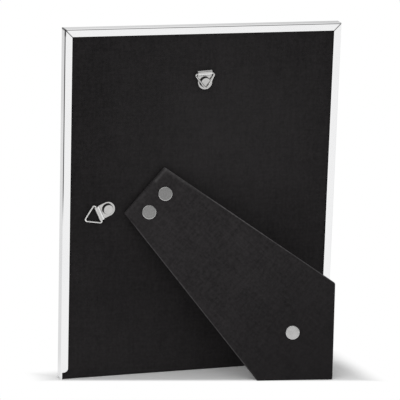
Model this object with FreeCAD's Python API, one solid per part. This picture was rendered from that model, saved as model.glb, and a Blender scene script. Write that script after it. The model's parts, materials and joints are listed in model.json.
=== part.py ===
import FreeCAD, Part
import math
import os

# Photo frame with an easel back, in millimetres, for a picture of 203 x 254 mm.
# Every piece is drawn on the upright frame first: X runs to the left as seen from behind,
# Y points out of the back, Z runs up the picture, and the bottom back edge of the frame
# lies on the X axis. The whole object then leans back about that edge until its open leg
# meets the table, and moves along Y so that the origin is centred under it.

# Frame rails, one hollow bead with a channel behind it
frame_width = 206.0
frame_height = 258.0
wall = 1.2
flange_width = 5.6
flange_thickness = 1.1
flange_end_height = 5.3
flange_end_radius = 3.4
bead_width = 7.0
bead_depth = 3.3
bead_skin = 1.0
outer_edge_radius = 0.9
bead_edge_radius = 0.8
flange_edge_radius = 0.3
mitre_gap = 0.1

# Corner keys inside the hollow bead
key_reach = 26.0
key_clearance = 0.1

# Layers held in the channel, from front to back
glass_thickness = 2.0
insert_thickness = 0.35
board_core_thickness = 2.2
board_cover_thickness = 0.3
layer_clearance = 0.1
channel_side_clearance = 0.4
channel_top_clearance = 0.5
board_lift = 0.2
board_hem = 12.0
lining_clearance = 0.3

# Stand angles, in degrees
lean = 5.47
landscape_lean = 16.35
leg_opening = 16.33

# Leg and its hinge on the back board. The hinge is placed from the middle of the frame's
# height and from the side hanger, and the leg runs from there towards a point on the right
# edge of the frame, near its lower corner.
hinge_rise = 6.4
hinge_to_hanger = 30.4
leg_aim_height = 8.2
leg_core_thickness = 2.2
leg_cover_thickness = 0.3
leg_top_width = 44.0
leg_top_shift = 0.9
leg_top_setback = 5.5
leg_upper_flare = 7.0
leg_lower_flare = 10.54
leg_top_corner_radius = 1.0
leg_inner_foot_radius = 0.8
leg_outer_foot_radius = 1.2
leg_side_corner_radius = 2.2
leaf_thickness = 0.5
leaf_length = 36.0
leaf_edge_margin = 4.5
knuckle_radius = 1.0
knuckle_count = 5
knuckle_gap = 0.2
knuckle_clearance = 0.15
leaf_notch_clearance = 0.3
pin_radius = 0.5
pin_clearance = 0.05
pin_head_radius = 0.8
pin_head_thickness = 0.3

# Rivets
rivet_hole_clearance = 0.05
leg_rivet_pitch = 17.6
leg_rivet_distance = 7.7
leg_rivet_head_radius = 5.1
leg_rivet_head_thickness = 0.8
leg_rivet_edge_radius = 0.4
leg_rivet_shank_radius = 1.6
leg_rivet_tail_radius = 2.5
leg_rivet_tail_thickness = 0.6
board_rivet_distance = 14.5
board_rivet_head_radius = 3.0
board_rivet_head_thickness = 0.6
board_rivet_edge_radius = 0.3
board_rivet_shank_radius = 1.4
board_rivet_tail_radius = 2.6
board_rivet_tail_thickness = 0.6
tail_pocket_clearance = 0.2

# Stay ribbon from the foot of the leg to the back board, which it meets nearer the hinge
stay_shift = 6.2
stay_before_aim = 46.8
stay_step = 8.1
stay_width = 12.0
stay_thickness = 0.4
stay_tab = 5.0
stay_bend_radius = 0.9
stay_clearance = 0.05

# Hangers, a folded strap on a rivet with a three sided ring in its fold: one just right of
# the centre line below the top edge, and one in from the left edge, near the middle of the
# height. A bearing is how far, in degrees, a strap has swivelled from upright to the left.
top_hanger_drop = 40.6
top_hanger_shift = 0.6
top_hanger_bearing = 3.6
side_hanger_inset = 33.3
side_hanger_drop = 2.1
side_hanger_bearing = 114.5
strap_thickness = 0.5
strap_width = 10.5
strap_head_clearance = 1.3
strap_crease_angle = 67.0
strap_crease_radius = 0.4
strap_clearance = 0.05
strap_play = 0.25
ring_wire_radius = 0.6
ring_wire_clearance = 0.1
ring_slide = 1.2
ring_side_clearance = 0.38
ring_height = 11.7
ring_corner_radius = 1.1
ring_tip_radius = 1.5
ring_rest_clearance = 0.05
hanger_rivet_head_radius = 3.6
hanger_rivet_head_thickness = 1.6
hanger_rivet_edge_radius = 0.4

# How far a cutting shape runs past what it cuts
overrun = 1.0

# Depths of the layers, with the back face of the frame at zero
board_thickness = board_core_thickness + board_cover_thickness * 2
board_back = -flange_thickness - layer_clearance
board_front = board_back - board_thickness
insert_back = board_front - layer_clearance
insert_front = insert_back - insert_thickness
glass_back = insert_front - layer_clearance
glass_front = glass_back - glass_thickness
rebate = glass_front - layer_clearance
front = rebate - bead_depth
core_back = board_back - board_cover_thickness
core_front = board_front + board_cover_thickness

# Plan of the layers
half_width = frame_width / 2
channel_half_width = half_width - wall
layer_half_width = channel_half_width - channel_side_clearance
layer_top = frame_height - wall - channel_top_clearance

# Places on the back board, and the course of the leg
side_hanger_across = half_width - side_hanger_inset
side_hanger_height = frame_height / 2 - side_hanger_drop
top_hanger_height = frame_height - top_hanger_drop
hinge_across = side_hanger_across - hinge_to_hanger
hinge_height = frame_height / 2 + hinge_rise
leg_run = -half_width - hinge_across
leg_drop = leg_aim_height - hinge_height
leg_bearing = math.degrees(math.atan2(leg_run, leg_drop))
stay_leg_distance = math.hypot(leg_run, leg_drop) - stay_before_aim
stay_board_distance = stay_leg_distance - stay_step

# Heights above the back board
axis_height = knuckle_radius + knuckle_clearance
leg_inner_height = axis_height * 2
leg_thickness = leg_core_thickness + leg_cover_thickness * 2
leg_outer_height = leg_inner_height + leg_thickness
leaf_start = knuckle_radius + leaf_notch_clearance
strap_plate_top = strap_clearance + strap_thickness * 2
slot_radius = ring_wire_radius + ring_wire_clearance
ring_axis_height = strap_clearance + strap_thickness + slot_radius
strap_fold_radius = slot_radius + strap_thickness
strap_loop_top = ring_axis_height + strap_fold_radius
head_top = strap_plate_top + strap_play + hanger_rivet_head_thickness

# Reaches of a hanger from its rivet, and the fold at which its ring rests on the rivet's head
strap_crease_reach = hanger_rivet_head_radius + strap_head_clearance
strap_crease_slope = math.tan(math.radians(strap_crease_angle))
strap_loop_start = strap_crease_reach + (strap_loop_top - strap_plate_top) / strap_crease_slope
strap_loop_bend = strap_fold_radius * math.tan(math.radians(strap_crease_angle / 2))
slot_inner_reach = strap_loop_start + strap_loop_bend
ring_axis_reach = slot_inner_reach + ring_slide
strap_fold_reach = ring_axis_reach + strap_fold_radius
ring_rest_height = head_top + ring_wire_radius + ring_rest_clearance
ring_rest_rise = math.asin((ring_rest_height - ring_axis_height) / slot_inner_reach)
ring_fold_angle = math.degrees(math.pi - ring_rest_rise)

BACK = FreeCAD.Vector(0, 1, 0)
UP = FreeCAD.Vector(0, 0, 1)
LEFT = FreeCAD.Vector(1, 0, 0)
ORIGIN = FreeCAD.Vector(0, 0, 0)


def vector(x, y, z):
    return FreeCAD.Vector(x, y, z)


def rounded_wire(points, radii, closed=True):
    """Join the points with straight runs and round each corner by its own radius."""
    count = len(points)
    joints = []
    for index, (point, radius) in enumerate(zip(points, radii)):
        at_end = not closed and index in (0, count - 1)
        if radius == 0 or at_end:
            joints.append((point, None, point))
            continue
        before = (points[index - 1] - point).normalize()
        after = (points[(index + 1) % count] - point).normalize()
        half_angle = before.getAngle(after) / 2
        middle = (before + after).normalize()
        run = radius / math.tan(half_angle)
        crown = point + middle * (radius / math.sin(half_angle) - radius)
        joints.append((point + before * run, crown, point + after * run))
    edges = []
    for index, (start, crown, end) in enumerate(joints):
        if crown is not None:
            edges.append(Part.Arc(start, crown, end).toShape())
        if closed or index < count - 1:
            following = joints[(index + 1) % count][0]
            edges.append(Part.LineSegment(end, following).toShape())
    return Part.Wire(edges)


def solid(points, radii, sweep):
    """A flat outline with rounded corners, swept straight."""
    return Part.Face(rounded_wire(points, radii)).extrude(sweep)


def block(x_from, x_to, y_from, y_to, z_from, z_to):
    size = (x_to - x_from, y_to - y_from, z_to - z_from)
    return Part.makeBox(*size, vector(x_from, y_from, z_from))


def upright_plate(places, radii, y_from, y_to):
    """A plate in the plane of the picture, from places across and up."""
    points = [vector(x, y_from, z) for x, z in places]
    return solid(points, radii, BACK * (y_to - y_from))


def cylinder(radius, z_from, z_to, x=0, y=0):
    return Part.makeCylinder(radius, z_to - z_from, vector(x, y, z_from), UP)


def seat(across, height, bearing):
    """Place a piece on the back board.

    Such a piece is drawn with Z as its height above the board and Y along its bearing,
    the angle from the top of the frame towards its left side as seen from behind.
    """
    angle = math.radians(bearing)
    onward = vector(math.sin(angle), 0, math.cos(angle))
    sideways = onward.cross(BACK)
    turn = FreeCAD.Rotation(sideways, onward, BACK, "ZYX")
    return FreeCAD.Placement(vector(across, board_back, height), turn)


def placed(shape, placement):
    moved = shape.copy()
    moved.transformShape(placement.toMatrix(), False)
    return moved


def turned(shape, centre, axis, angle):
    moved = shape.copy()
    moved.rotate(centre, axis, angle)
    return moved


hinge_seat = seat(hinge_across, hinge_height, leg_bearing)
top_hanger_seat = seat(-top_hanger_shift, top_hanger_height, top_hanger_bearing)
side_hanger_seat = seat(side_hanger_across, side_hanger_height, side_hanger_bearing)
hinge_centre = vector(0, 0, axis_height)


# Rails

def bead_hollow():
    inner = bead_width - bead_skin
    near = front + bead_skin
    far = rebate - bead_skin
    return [(wall, near), (inner, near), (inner, far), (wall, far)]


def full_section():
    """Rail with its back flange: places inward from the outer face and along the depth."""
    places = [
        (0, 0),
        (0, front),
        (bead_width, front),
        (bead_width, rebate),
        (wall, rebate),
        (wall, -flange_thickness),
        (flange_width, -flange_thickness),
        (flange_width, 0),
    ]
    radii = [outer_edge_radius, outer_edge_radius, bead_edge_radius, 0, 0, 0, 0]
    return places, radii + [flange_edge_radius]


def bottom_section():
    """Bottom rail: its ledge carries the glass, and the layers behind slide past it."""
    places = [
        (0, glass_back),
        (0, front),
        (bead_width, front),
        (bead_width, rebate),
        (wall, rebate),
        (wall, glass_back),
    ]
    radii = [flange_edge_radius, outer_edge_radius, bead_edge_radius, 0, 0, 0]
    return places, radii


def extruded_rail(corner, along, inward, length, section):
    """A rail from one outer corner to the next, with square ends."""
    def swept(places, radii):
        points = [corner + inward * a + BACK * b for a, b in places]
        return solid(points, radii, along * length)

    hollow = bead_hollow()
    return swept(*section).cut(swept(hollow, [0] * len(hollow)))


def mitre_keep(corner, along, inward, length, y_from, y_to, square_start=False):
    """The space that a rail keeps between the mitre cuts at its two ends."""
    gap = mitre_gap / math.sqrt(2)
    deep = bead_width + overrun
    start_low = -overrun if square_start else gap
    start_deep = -overrun if square_start else gap + deep
    places = [
        (start_low, 0),
        (length - gap, 0),
        (length - gap - deep, deep),
        (start_deep, deep),
    ]
    points = [corner + along * a + inward * b + BACK * y_from for a, b in places]
    return solid(points, [0] * len(points), BACK * (y_to - y_from))


def top_rail():
    corner = vector(-half_width, 0, frame_height)
    ends = (corner, LEFT, -UP, frame_width)
    rail = extruded_rail(*ends, full_section())
    return rail.common(mitre_keep(*ends, front - overrun, overrun))


def bottom_rail():
    corner = vector(-half_width, 0, 0)
    ends = (corner, LEFT, UP, frame_width)
    rail = extruded_rail(*ends, bottom_section())
    return rail.common(mitre_keep(*ends, front - overrun, overrun))


def side_rail(side):
    """A side rail: mitred to the bottom rail in front, and square to the table behind it."""
    corner = vector(side * half_width, 0, 0)
    inward = LEFT * -side
    ends = (corner, UP, inward, frame_height)
    rail = extruded_rail(*ends, full_section())
    keep_front = mitre_keep(*ends, front - overrun, glass_back)
    keep_back = mitre_keep(*ends, glass_back, overrun, square_start=True)
    rail = rail.common(keep_front.fuse(keep_back))
    past = flange_width + overrun
    above = flange_end_height + flange_end_radius + overrun
    places = [
        (wall, -overrun),
        (past, -overrun),
        (past, above),
        (flange_width, above),
        (flange_width, flange_end_height),
        (wall, flange_end_height),
    ]
    points = [corner + inward * a + UP * b - BACK * flange_thickness for a, b in places]
    radii = [0, 0, 0, 0, flange_end_radius, 0]
    return rail.cut(solid(points, radii, BACK * (flange_thickness + overrun)))


def corner_key(side, low):
    """An L plate across a mitre, inside the hollow bead of two rails."""
    near = wall + key_clearance
    far = bead_width - bead_skin - key_clearance
    plan = [(near, near), (key_reach, near), (key_reach, far)]
    plan += [(far, far), (far, key_reach), (near, key_reach)]
    places = []
    for a, b in plan:
        z = b if low else frame_height - b
        places.append((side * (half_width - a), z))
    y_from = front + bead_skin + key_clearance
    y_to = rebate - bead_skin - key_clearance
    return upright_plate(places, [0] * len(places), y_from, y_to)


# Layers in the channel

def glass_pane():
    low = wall + layer_clearance
    return block(-layer_half_width, layer_half_width, glass_front, glass_back, low, layer_top)


def picture_insert():
    return block(-layer_half_width, layer_half_width, insert_front, insert_back,
                 board_lift, layer_top)


def board_bores():
    """Where rivets pass through the back board."""
    on_hinge_seat = [vector(shift, board_rivet_distance, 0) for shift in rivet_pair()]
    on_hinge_seat.append(vector(stay_shift, stay_board_distance, 0))
    bores = [hinge_seat.multVec(point) for point in on_hinge_seat]
    return bores + [top_hanger_seat.Base, side_hanger_seat.Base]


def board_drill(radius, y_from, y_to):
    """The rivet holes of the back board as one group of cylinders."""
    holes = []
    for point in board_bores():
        base = vector(point.x, y_from, point.z)
        holes.append(Part.makeCylinder(radius, y_to - y_from, base, BACK))
    return Part.makeCompound(holes)


def back_board_core():
    edge = layer_half_width - board_cover_thickness
    low = board_lift + board_cover_thickness
    top = layer_top - board_cover_thickness
    core = block(-edge, edge, core_front, core_back, low, top)
    hole = board_rivet_shank_radius + rivet_hole_clearance
    pocket = board_rivet_tail_radius + tail_pocket_clearance
    pocket_depth = board_rivet_tail_thickness + rivet_hole_clearance
    core = core.cut(board_drill(hole, core_front - overrun, core_back + overrun))
    return core.cut(board_drill(pocket, core_front - overrun, core_front + pocket_depth))


def back_board_cover():
    """Covering paper over the back face and edges, turned in as a hem at the front."""
    edge = layer_half_width - board_cover_thickness
    low = board_lift + board_cover_thickness
    top = layer_top - board_cover_thickness
    skin = block(-layer_half_width, layer_half_width, board_front, board_back,
                 board_lift, layer_top)
    skin = skin.cut(block(-edge, edge, core_front, core_back, low, top))
    window = block(board_hem - layer_half_width, layer_half_width - board_hem,
                   board_front - overrun, core_front,
                   board_lift + board_hem, layer_top - board_hem)
    hole = board_rivet_shank_radius + rivet_hole_clearance
    return skin.cut(window).cut(board_drill(hole, core_back - overrun, board_back + overrun))


def back_board_lining():
    inset = board_hem + lining_clearance
    return block(inset - layer_half_width, layer_half_width - inset, board_front, core_front,
                 board_lift + inset, layer_top - inset)


# Leg

def rivet_pair():
    return [-leg_rivet_pitch / 2, leg_rivet_pitch / 2]


def meet(line, other):
    """Where two lines a*x + b*y + c = 0 cross."""
    spread = line[0] * other[1] - other[0] * line[1]
    x = (line[1] * other[2] - other[1] * line[2]) / spread
    y = (other[0] * line[2] - line[0] * other[2]) / spread
    return (x, y)


def table_line(edge_point, normal):
    """The line, on the inner face of the open leg, where it meets a table."""
    across = hinge_seat.Rotation.multVec(LEFT)
    opening = FreeCAD.Rotation(LEFT, leg_opening)
    onward = hinge_seat.Rotation.multVec(opening.multVec(BACK))
    outward = hinge_seat.Rotation.multVec(opening.multVec(UP))
    axis = hinge_seat.multVec(hinge_centre)
    face = axis + outward * (leg_inner_height - axis_height)
    return (across.dot(normal), onward.dot(normal), (face - edge_point).dot(normal))


def portrait_line():
    angle = math.radians(lean)
    return table_line(ORIGIN, vector(0, -math.sin(angle), math.cos(angle)))


def landscape_line():
    angle = math.radians(landscape_lean)
    edge_point = vector(-half_width, 0, 0)
    return table_line(edge_point, vector(math.cos(angle), -math.sin(angle), 0))


def leg_corners():
    """Corners of the leg, across from and along from the hinge axis."""
    top = -leg_top_setback
    upper = -leg_top_width / 2 - leg_top_shift
    lower = leg_top_width / 2 - leg_top_shift
    upper_slope = math.tan(math.radians(leg_upper_flare))
    lower_slope = math.tan(math.radians(leg_lower_flare))
    upper_line = (1, upper_slope, -upper - upper_slope * top)
    lower_line = (1, -lower_slope, -lower + lower_slope * top)
    return {
        "upper": (upper, top),
        "lower": (lower, top),
        "inner foot": meet(lower_line, portrait_line()),
        "outer foot": meet(portrait_line(), landscape_line()),
        "side": meet(landscape_line(), upper_line),
    }


def leg_layer(z_from, z_to):
    """One layer of the closed leg, drilled for its three rivets."""
    points = [vector(x, y, z_from) for x, y in leg_corners().values()]
    radii = [
        leg_top_corner_radius,
        leg_top_corner_radius,
        leg_inner_foot_radius,
        leg_outer_foot_radius,
        leg_side_corner_radius,
    ]
    layer = solid(points, radii, UP * (z_to - z_from))
    hole = leg_rivet_shank_radius + rivet_hole_clearance
    centres = [(shift, leg_rivet_distance) for shift in rivet_pair()]
    centres.append((stay_shift, stay_leg_distance))
    for x, y in centres:
        layer = layer.cut(cylinder(hole, z_from - overrun, z_to + overrun, x, y))
    return layer


def open_leg(shape):
    """Swing a piece of the closed leg open about the hinge pin and seat it."""
    return placed(turned(shape, hinge_centre, LEFT, leg_opening), hinge_seat)


def leg_layers():
    core_from = leg_inner_height + leg_cover_thickness
    core_to = core_from + leg_core_thickness
    return {
        "leg_cover_inner": open_leg(leg_layer(leg_inner_height, core_from)),
        "leg_board_core": open_leg(leg_layer(core_from, core_to)),
        "leg_cover_outer": open_leg(leg_layer(core_to, leg_outer_height)),
    }


def knuckle_spans(first):
    """Start and end along the pin of every second knuckle, from the first or the next."""
    pitch = leaf_length / knuckle_count
    spans = []
    for index in range(first, knuckle_count, 2):
        start = -leaf_length / 2 + pitch * index
        spans.append((start + knuckle_gap / 2, start + pitch - knuckle_gap / 2))
    return spans


def hinge_leaf(first, z_from, reach, rivet_distance, shank_radius):
    """A leaf plate with every second knuckle, drilled for its two rivets."""
    z_to = z_from + leaf_thickness
    half = leaf_length / 2
    leaf = block(-half, half, leaf_start, reach, z_from, z_to)
    for start, end in knuckle_spans(first):
        base = vector(start, 0, axis_height)
        barrel = Part.makeCylinder(knuckle_radius, end - start, base, LEFT)
        leaf = leaf.fuse(barrel).fuse(block(start, end, 0, leaf_start, z_from, z_to))
    bore_start = vector(-half - overrun, 0, axis_height)
    bore_length = leaf_length + overrun * 2
    bore = Part.makeCylinder(pin_radius + pin_clearance, bore_length, bore_start, LEFT)
    leaf = leaf.cut(bore)
    for shift in rivet_pair():
        hole = cylinder(shank_radius + rivet_hole_clearance, z_from - overrun,
                        z_to + overrun, shift, rivet_distance)
        leaf = leaf.cut(hole)
    return leaf.removeSplitter()


def board_hinge_leaf():
    reach = board_rivet_distance + leaf_edge_margin
    leaf = hinge_leaf(first=0, z_from=0, reach=reach, rivet_distance=board_rivet_distance,
                      shank_radius=board_rivet_shank_radius)
    return placed(leaf, hinge_seat)


def leg_hinge_leaf():
    reach = leg_rivet_distance + leaf_edge_margin
    low = leg_inner_height - leaf_thickness
    leaf = hinge_leaf(first=1, z_from=low, reach=reach, rivet_distance=leg_rivet_distance,
                      shank_radius=leg_rivet_shank_radius)
    return open_leg(leaf)


def hinge_pin():
    """Pin through all knuckles, upset at both ends."""
    half = leaf_length / 2
    pin = Part.makeCylinder(pin_radius, leaf_length, vector(-half, 0, axis_height), LEFT)
    for start in (-half - pin_head_thickness, half):
        base = vector(start, 0, axis_height)
        pin = pin.fuse(Part.makeCylinder(pin_head_radius, pin_head_thickness, base, LEFT))
    return placed(pin.removeSplitter(), hinge_seat)


# Rivets

def rivet(x, y, shank_from, shank_to, head, shank_radius, tail):
    """A rivet along Z: head above the shank, rolled tail below it."""
    head_radius, head_thickness, edge_radius = head
    tail_radius, tail_thickness = tail
    bottom = shank_from - tail_thickness
    top = shank_to + head_thickness
    places = [
        (0, bottom),
        (tail_radius, bottom),
        (tail_radius, shank_from),
        (shank_radius, shank_from),
        (shank_radius, shank_to),
        (head_radius, shank_to),
        (head_radius, top),
        (0, top),
    ]
    points = [vector(a, 0, b) for a, b in places]
    radii = [0, tail_thickness / 2, 0, 0, 0, 0, edge_radius, 0]
    shape = Part.Face(rounded_wire(points, radii)).revolve(ORIGIN, UP, 360)
    shape.translate(vector(x, y, 0))
    return shape


leg_head = (leg_rivet_head_radius, leg_rivet_head_thickness, leg_rivet_edge_radius)
leg_tail = (leg_rivet_tail_radius, leg_rivet_tail_thickness)
board_head = (board_rivet_head_radius, board_rivet_head_thickness, board_rivet_edge_radius)
board_tail = (board_rivet_tail_radius, board_rivet_tail_thickness)
hanger_head = (hanger_rivet_head_radius, hanger_rivet_head_thickness,
               hanger_rivet_edge_radius)
pocket_floor = core_front + board_rivet_tail_thickness - board_back


def leg_hinge_rivets():
    bottom = leg_inner_height - leaf_thickness
    rivets = []
    for shift in rivet_pair():
        shape = rivet(shift, leg_rivet_distance, bottom, leg_outer_height,
                      leg_head, leg_rivet_shank_radius, leg_tail)
        rivets.append(open_leg(shape))
    return Part.makeCompound(rivets)


def board_hinge_rivets():
    rivets = []
    for shift in rivet_pair():
        shape = rivet(shift, board_rivet_distance, pocket_floor, leaf_thickness,
                      board_head, board_rivet_shank_radius, board_tail)
        rivets.append(placed(shape, hinge_seat))
    return Part.makeCompound(rivets)


def stay_rivet_leg():
    bottom = leg_inner_height - stay_thickness - stay_clearance * 2
    return open_leg(rivet(stay_shift, stay_leg_distance, bottom, leg_outer_height,
                          leg_head, leg_rivet_shank_radius, leg_tail))


def stay_rivet_board():
    top = stay_thickness + stay_clearance * 2
    shape = rivet(stay_shift, stay_board_distance, pocket_floor, top,
                  board_head, board_rivet_shank_radius, board_tail)
    return placed(shape, hinge_seat)


def hanger_rivet(placement):
    top = strap_plate_top + strap_play
    return placed(rivet(0, 0, pocket_floor, top, hanger_head,
                        board_rivet_shank_radius, board_tail), placement)


# Stay ribbon

def stay_path():
    """Middle line of the taut ribbon, from its tab on the leg to its tab on the board."""
    opening = FreeCAD.Placement(ORIGIN, FreeCAD.Rotation(LEFT, leg_opening), hinge_centre)
    on_leg = leg_inner_height - stay_clearance - stay_thickness / 2
    on_board = stay_clearance + stay_thickness / 2
    leg_far = vector(stay_shift, stay_leg_distance + stay_tab, on_leg)
    leg_near = vector(stay_shift, stay_leg_distance - stay_tab, on_leg)
    return [
        opening.multVec(leg_far),
        opening.multVec(leg_near),
        vector(stay_shift, stay_board_distance - stay_tab, on_board),
        vector(stay_shift, stay_board_distance + stay_tab, on_board),
    ]


def stay_ribbon():
    path = stay_path()
    wire = rounded_wire(path, [0, stay_bend_radius, stay_bend_radius, 0], closed=False)
    start = path[0]
    along = (path[1] - start).normalize()
    across = LEFT * (stay_width / 2)
    through = along.cross(LEFT) * (stay_thickness / 2)
    corners = [start + across + through, start + across - through,
               start - across - through, start - across + through]
    profile = rounded_wire(corners, [0] * len(corners))
    ribbon = wire.makePipeShell([profile], True, False)
    leg_hole = cylinder(leg_rivet_shank_radius + rivet_hole_clearance,
                        leg_inner_height - stay_thickness - overrun,
                        leg_inner_height + overrun, stay_shift, stay_leg_distance)
    leg_hole = turned(leg_hole, hinge_centre, LEFT, leg_opening)
    board_hole = cylinder(board_rivet_shank_radius + rivet_hole_clearance,
                          -overrun, stay_thickness + overrun,
                          stay_shift, stay_board_distance)
    return placed(ribbon.cut(leg_hole).cut(board_hole), hinge_seat)


# Hangers

def hanger_strap(placement):
    """A strip folded round the ring and doubled flat under the rivet."""
    end_radius = strap_width / 2
    half = strap_width / 2
    places = [
        (-end_radius, strap_clearance),
        (strap_fold_reach, strap_clearance),
        (strap_fold_reach, strap_loop_top),
        (strap_loop_start, strap_loop_top),
        (strap_crease_reach, strap_plate_top),
        (-end_radius, strap_plate_top),
    ]
    radii = [0, strap_fold_radius, strap_fold_radius, strap_fold_radius,
             strap_crease_radius, 0]
    points = [vector(-half, y, z) for y, z in places]
    strap = solid(points, radii, LEFT * strap_width)
    plan_places = [
        (-half, -end_radius),
        (half, -end_radius),
        (half, strap_fold_reach),
        (-half, strap_fold_reach),
    ]
    plan_points = [vector(x, y, 0) for x, y in plan_places]
    plan = solid(plan_points, [end_radius, end_radius, 0, 0], UP * strap_loop_top)
    slot = Part.makeCylinder(slot_radius, strap_width,
                             vector(-half, ring_axis_reach, ring_axis_height), LEFT)
    slot = slot.fuse(Part.makeCylinder(slot_radius, strap_width,
                                       vector(-half, slot_inner_reach, ring_axis_height),
                                       LEFT))
    slot = slot.fuse(block(-half, half, slot_inner_reach, ring_axis_reach,
                           ring_axis_height - slot_radius, ring_axis_height + slot_radius))
    hole = cylinder(board_rivet_shank_radius + rivet_hole_clearance,
                    -overrun, strap_loop_top + overrun)
    return placed(strap.common(plan).cut(slot).cut(hole).removeSplitter(), placement)


def hanger_ring(placement, slide, angle):
    """A three sided wire ring, slid in along the strap and folded over by an angle.

    Its base stays straight past both sides of the strap, so the corners start outside them.
    """
    straight = strap_width / 2 + ring_side_clearance
    rise = math.sqrt(straight ** 2 + ring_height * (ring_height - ring_corner_radius * 2))
    half_corner_slope = (rise - straight) / ring_height
    base_half = straight + ring_corner_radius / half_corner_slope
    reach = ring_axis_reach - slide
    axis = vector(0, reach, ring_axis_height)
    points = [
        vector(-base_half, reach, ring_axis_height),
        vector(base_half, reach, ring_axis_height),
        vector(0, reach + ring_height, ring_axis_height),
    ]
    path = rounded_wire(points, [ring_corner_radius, ring_corner_radius, ring_tip_radius])
    first = path.Edges[0]
    tangent = first.tangentAt(first.FirstParameter)
    start = first.valueAt(first.FirstParameter)
    profile = Part.Wire([Part.makeCircle(ring_wire_radius, start, tangent)])
    ring = path.makePipeShell([profile], True, False)
    return placed(turned(ring, axis, LEFT, angle), placement)


# Assembly

def upright_pieces():
    """Every piece on the upright frame, by name."""
    pieces = {
        "rail_top": top_rail(),
        "rail_left": side_rail(1),
        "rail_right": side_rail(-1),
        "rail_bottom": bottom_rail(),
        "corner_key_top_left": corner_key(1, False),
        "corner_key_top_right": corner_key(-1, False),
        "corner_key_bottom_left": corner_key(1, True),
        "corner_key_bottom_right": corner_key(-1, True),
        "glass_pane": glass_pane(),
        "picture_insert": picture_insert(),
        "back_board_core": back_board_core(),
        "back_board_cover": back_board_cover(),
        "back_board_lining": back_board_lining(),
        "board_hinge_leaf": board_hinge_leaf(),
        "leg_hinge_leaf": leg_hinge_leaf(),
        "hinge_pin": hinge_pin(),
        "board_hinge_rivets": board_hinge_rivets(),
        "leg_hinge_rivets": leg_hinge_rivets(),
        "stay_ribbon": stay_ribbon(),
        "stay_rivet_leg": stay_rivet_leg(),
        "stay_rivet_board": stay_rivet_board(),
        "top_hanger_strap": hanger_strap(top_hanger_seat),
        "top_hanger_ring": hanger_ring(top_hanger_seat, ring_slide, ring_fold_angle),
        "top_hanger_rivet": hanger_rivet(top_hanger_seat),
        "side_hanger_strap": hanger_strap(side_hanger_seat),
        "side_hanger_ring": hanger_ring(side_hanger_seat, 0, 0),
        "side_hanger_rivet": hanger_rivet(side_hanger_seat),
    }
    pieces.update(leg_layers())
    return pieces


def stand():
    """The lean and the shift that take the upright frame to its place on the table."""
    angle = math.radians(lean)
    foot = vector(*leg_corners()["outer foot"], leg_outer_height)
    opening = FreeCAD.Placement(ORIGIN, FreeCAD.Rotation(LEFT, leg_opening), hinge_centre)
    leaning = FreeCAD.Placement(ORIGIN, FreeCAD.Rotation(LEFT, -lean))
    rearmost = leaning.multVec(hinge_seat.multVec(opening.multVec(foot))).y
    foremost = front * math.cos(angle)
    return FreeCAD.Placement(BACK * (-(foremost + rearmost) / 2), leaning.Rotation)


def main():
    os.makedirs("parts", exist_ok=True)
    standing = stand()
    for name, shape in upright_pieces().items():
        placed(shape, standing).exportStep(os.path.join("parts", name + ".step"))


main()
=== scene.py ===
import bmesh
import bpy
import json
import math
from bpy.props import FloatProperty, FloatVectorProperty, IntProperty, PointerProperty
from mathutils import Matrix, Vector

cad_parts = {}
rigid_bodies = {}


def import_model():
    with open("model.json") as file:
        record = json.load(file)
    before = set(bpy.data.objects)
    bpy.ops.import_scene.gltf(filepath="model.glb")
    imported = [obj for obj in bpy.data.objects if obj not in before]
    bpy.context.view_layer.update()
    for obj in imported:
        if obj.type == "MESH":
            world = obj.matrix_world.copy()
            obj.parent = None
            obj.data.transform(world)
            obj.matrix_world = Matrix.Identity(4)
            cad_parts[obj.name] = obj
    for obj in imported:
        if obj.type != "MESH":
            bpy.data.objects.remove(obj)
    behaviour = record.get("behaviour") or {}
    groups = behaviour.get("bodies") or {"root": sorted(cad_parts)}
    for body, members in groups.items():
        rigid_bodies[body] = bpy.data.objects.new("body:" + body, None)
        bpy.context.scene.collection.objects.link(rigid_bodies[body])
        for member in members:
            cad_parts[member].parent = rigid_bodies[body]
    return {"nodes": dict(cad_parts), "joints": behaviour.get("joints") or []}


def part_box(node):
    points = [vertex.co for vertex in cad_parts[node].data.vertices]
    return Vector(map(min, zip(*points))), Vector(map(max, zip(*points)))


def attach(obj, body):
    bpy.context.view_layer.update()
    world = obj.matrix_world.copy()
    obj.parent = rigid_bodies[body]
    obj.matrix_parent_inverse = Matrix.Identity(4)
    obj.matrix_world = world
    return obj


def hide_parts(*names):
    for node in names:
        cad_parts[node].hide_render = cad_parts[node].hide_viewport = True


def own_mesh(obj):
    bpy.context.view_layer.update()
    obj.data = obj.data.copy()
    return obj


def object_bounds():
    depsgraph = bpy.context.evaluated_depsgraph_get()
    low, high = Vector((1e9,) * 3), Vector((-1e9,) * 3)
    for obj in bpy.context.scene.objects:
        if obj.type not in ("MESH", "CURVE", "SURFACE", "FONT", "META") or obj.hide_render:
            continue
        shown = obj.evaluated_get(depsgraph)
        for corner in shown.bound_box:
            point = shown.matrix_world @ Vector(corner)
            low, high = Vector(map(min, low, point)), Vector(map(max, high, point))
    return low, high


bl_info = {
    "name": "Easel back photo frame",
    "version": (1, 0, 0),
    "blender": (4, 5, 0),
    "location": "View3D > Sidebar > Photo Frame",
    "description": "Finishes the photo frame's rails, boards, leg, ribbon and hangers",
    "category": "Object",
}

for leftover in list(bpy.data.objects):
    bpy.data.objects.remove(leftover)
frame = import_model()
cad_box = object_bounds()
joints = {joint["name"]: joint for joint in frame["joints"]}

# Directions of the standing frame, taken from its joints
ACROSS = Vector((1, 0, 0))
RISE = -Vector(joints["easel_back_slide"]["axis"])
BACKWARD = Vector(joints["top_strap_swivel"]["axis"])
HINGE = Vector(joints["leg_hinge"]["axis"])
OPENING = math.radians(joints["leg_hinge"]["range_deg"][1])

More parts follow.
